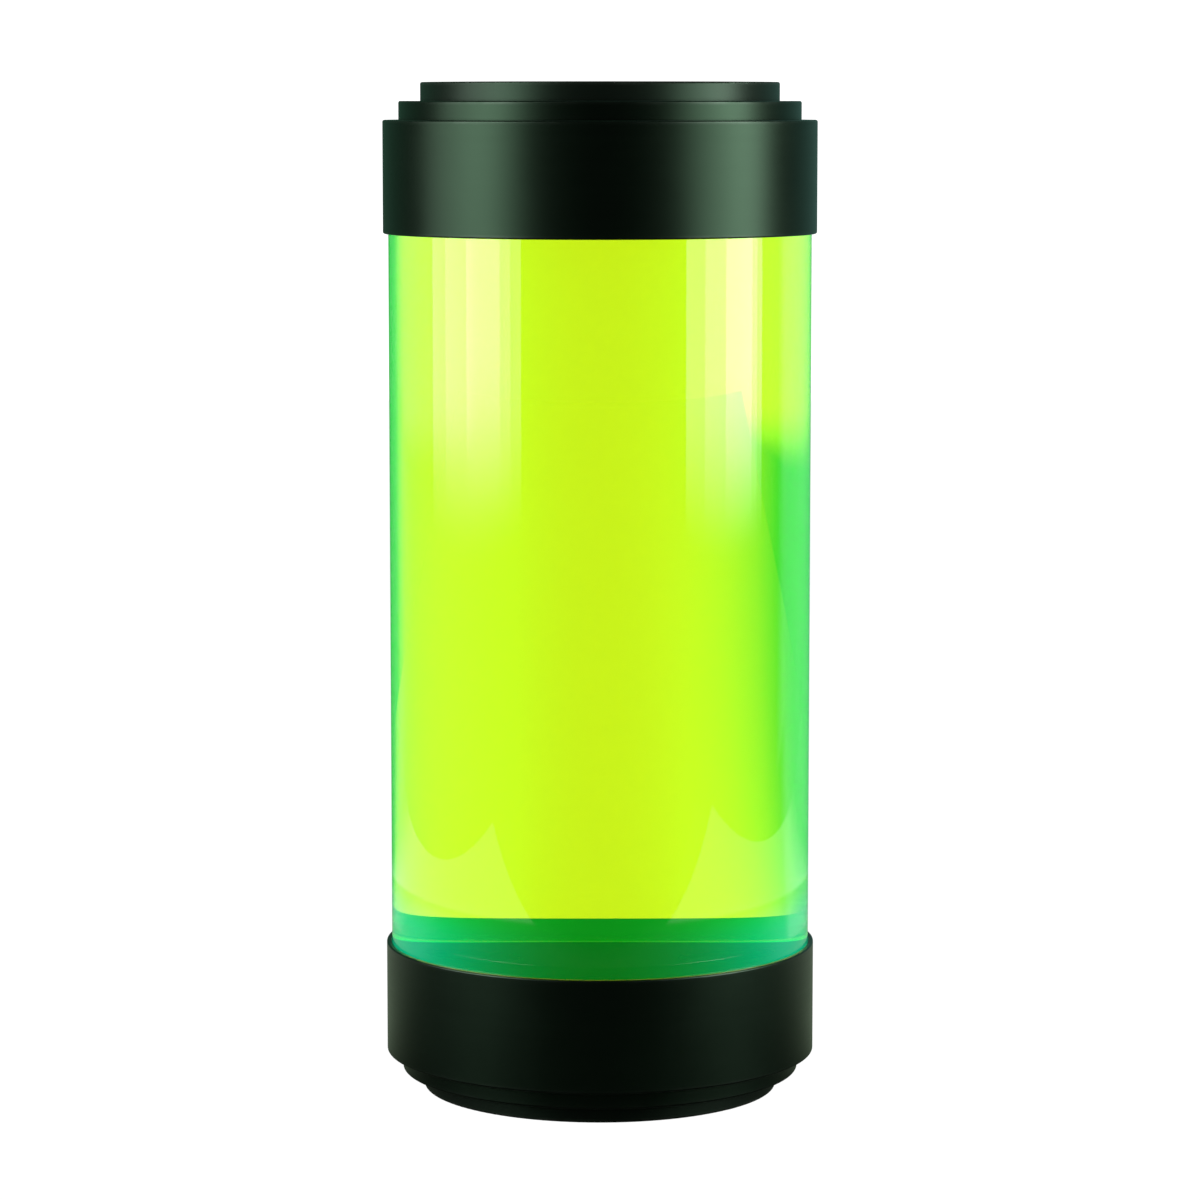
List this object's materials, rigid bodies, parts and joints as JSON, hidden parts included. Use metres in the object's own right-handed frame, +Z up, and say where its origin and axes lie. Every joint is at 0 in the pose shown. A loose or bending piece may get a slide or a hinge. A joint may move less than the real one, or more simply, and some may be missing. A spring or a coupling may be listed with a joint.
{
  "type": "coolant reservoir",
  "caption": "Upright clear tube reservoir full of bright green coolant, closed at both ends by stepped black screw collars over ported end plates.",
  "frame": {"origin": "centre of the lower end plate's bottom face, which stands on the desk", "axes": "+Z up along the tube; at the top the first port lies towards +Y"},
  "size_m": [0.065, 0.065, 0.1524],
  "materials": {
    "clear_acrylic": "polished clear cast acrylic",
    "coolant": "clear fluorescent yellow-green liquid",
    "black_anodised": "satin black anodised, turned",
    "black_acetal": "satin black, turned",
    "seal_rubber": "matt black moulded",
    "white_ptfe": "waxy white sheet",
    "spring_steel": "plain ground",
    "black_plated_brass": "satin black plated"
  },
  "bodies": {
    "base": {"bottom_plate": "black_acetal", "bottom_thrust_washer": "white_ptfe", "bottom_snap_ring": "spring_steel", "bottom_spigot_seal_outer": "seal_rubber", "bottom_spigot_seal_inner": "seal_rubber"},
    "bottom_collar": {"bottom_collar": "black_anodised"},
    "tube": {"tube": "clear_acrylic", "coolant": "coolant"},
    "top_end": {"top_plate": "black_acetal", "top_thrust_washer": "white_ptfe", "top_snap_ring": "spring_steel", "top_spigot_seal_outer": "seal_rubber", "top_spigot_seal_inner": "seal_rubber"},
    "top_collar": {"top_collar": "black_anodised"},
    "top_plug_a": {"top_plug_a": "black_plated_brass"},
    "top_plug_seal_a": {"top_plug_seal_a": "seal_rubber"},
    "top_plug_b": {"top_plug_b": "black_plated_brass"},
    "top_plug_seal_b": {"top_plug_seal_b": "seal_rubber"},
    "top_plug_c": {"top_plug_c": "black_plated_brass"},
    "top_plug_seal_c": {"top_plug_seal_c": "seal_rubber"},
    "bottom_plug_a": {"bottom_plug_a": "black_plated_brass"},
    "bottom_plug_seal_a": {"bottom_plug_seal_a": "seal_rubber"},
    "bottom_plug_b": {"bottom_plug_b": "black_plated_brass"},
    "bottom_plug_seal_b": {"bottom_plug_seal_b": "seal_rubber"},
    "bottom_plug_c": {"bottom_plug_c": "black_plated_brass"},
    "bottom_plug_seal_c": {"bottom_plug_seal_c": "seal_rubber"}
  },
  "joints": [
    {"name": "bottom_collar_turn", "type": "hinge", "parent": "base", "child": "bottom_collar", "pos_m": [0, 0, 0.0125], "axis": [0, 0, 1], "range_deg": [-1260.1, 0]},
    {"name": "tube_rise", "type": "slide", "parent": "base", "child": "tube", "axis": [0, 0, 1], "range_m": [0, 0.007]},
    {"name": "top_collar_turn", "type": "hinge", "parent": "top_end", "child": "top_collar", "pos_m": [0, 0, 0.1399], "axis": [0, 0, 1], "range_deg": [0, 1260.1]},
    {"name": "top_end_rise", "type": "slide", "parent": "tube", "child": "top_end", "axis": [0, 0, 1], "range_m": [0, 0.007]},
    {"name": "top_plug_a_turn", "type": "hinge", "parent": "top_plug_seal_a", "child": "top_plug_a", "pos_m": [0, 0.0155, 0.1449], "axis": [0, 0, 1], "range_deg": [0, 1620.1]},
    {"name": "top_plug_a_travel", "type": "slide", "parent": "top_end", "child": "top_plug_seal_a", "axis": [0, 0, 1], "range_m": [0, 0.00602]},
    {"name": "top_plug_b_turn", "type": "hinge", "parent": "top_plug_seal_b", "child": "top_plug_b", "pos_m": [-0.01342, -0.00775, 0.1449], "axis": [0, 0, 1], "range_deg": [0, 1620.1]},
    {"name": "top_plug_b_travel", "type": "slide", "parent": "top_end", "child": "top_plug_seal_b", "axis": [0, 0, 1], "range_m": [0, 0.00602]},
    {"name": "top_plug_c_turn", "type": "hinge", "parent": "top_plug_seal_c", "child": "top_plug_c", "pos_m": [0.01342, -0.00775, 0.1449], "axis": [0, 0, 1], "range_deg": [0, 1620.1]},
    {"name": "top_plug_c_travel", "type": "slide", "parent": "top_end", "child": "top_plug_seal_c", "axis": [0, 0, 1], "range_m": [0, 0.00602]},
    {"name": "bottom_plug_a_turn", "type": "hinge", "parent": "bottom_plug_seal_a", "child": "bottom_plug_a", "pos_m": [0, -0.0155, 0.0075], "axis": [0, 0, 1], "range_deg": [-1620.1, 0]},
    {"name": "bottom_plug_a_travel", "type": "slide", "parent": "base", "child": "bottom_plug_seal_a", "axis": [0, 0, 1], "range_m": [-0.00602, 0]},
    {"name": "bottom_plug_b_turn", "type": "hinge", "parent": "bottom_plug_seal_b", "child": "bottom_plug_b", "pos_m": [-0.01342, 0.00775, 0.0075], "axis": [0, 0, 1], "range_deg": [-1620.1, 0]},
    {"name": "bottom_plug_b_travel", "type": "slide", "parent": "base", "child": "bottom_plug_seal_b", "axis": [0, 0, 1], "range_m": [-0.00602, 0]},
    {"name": "bottom_plug_c_turn", "type": "hinge", "parent": "bottom_plug_seal_c", "child": "bottom_plug_c", "pos_m": [0.01342, 0.00775, 0.0075], "axis": [0, 0, 1], "range_deg": [-1620.1, 0]},
    {"name": "bottom_plug_c_travel", "type": "slide", "parent": "base", "child": "bottom_plug_seal_c", "axis": [0, 0, 1], "range_m": [-0.00602, 0]}
  ],
  "couplings": [
    {"joint": "bottom_collar_turn", "follows": "tube_rise", "rad_per_m": -3141.6},
    {"joint": "top_collar_turn", "follows": "top_end_rise", "rad_per_m": 3141.6},
    {"joint": "top_plug_a_turn", "follows": "top_plug_a_travel", "rad_per_m": 4699.5},
    {"joint": "top_plug_b_turn", "follows": "top_plug_b_travel", "rad_per_m": 4699.5},
    {"joint": "top_plug_c_turn", "follows": "top_plug_c_travel", "rad_per_m": 4699.5},
    {"joint": "bottom_plug_a_turn", "follows": "bottom_plug_a_travel", "rad_per_m": 4699.5},
    {"joint": "bottom_plug_b_turn", "follows": "bottom_plug_b_travel", "rad_per_m": 4699.5},
    {"joint": "bottom_plug_c_turn", "follows": "bottom_plug_c_travel", "rad_per_m": 4699.5}
  ]
}
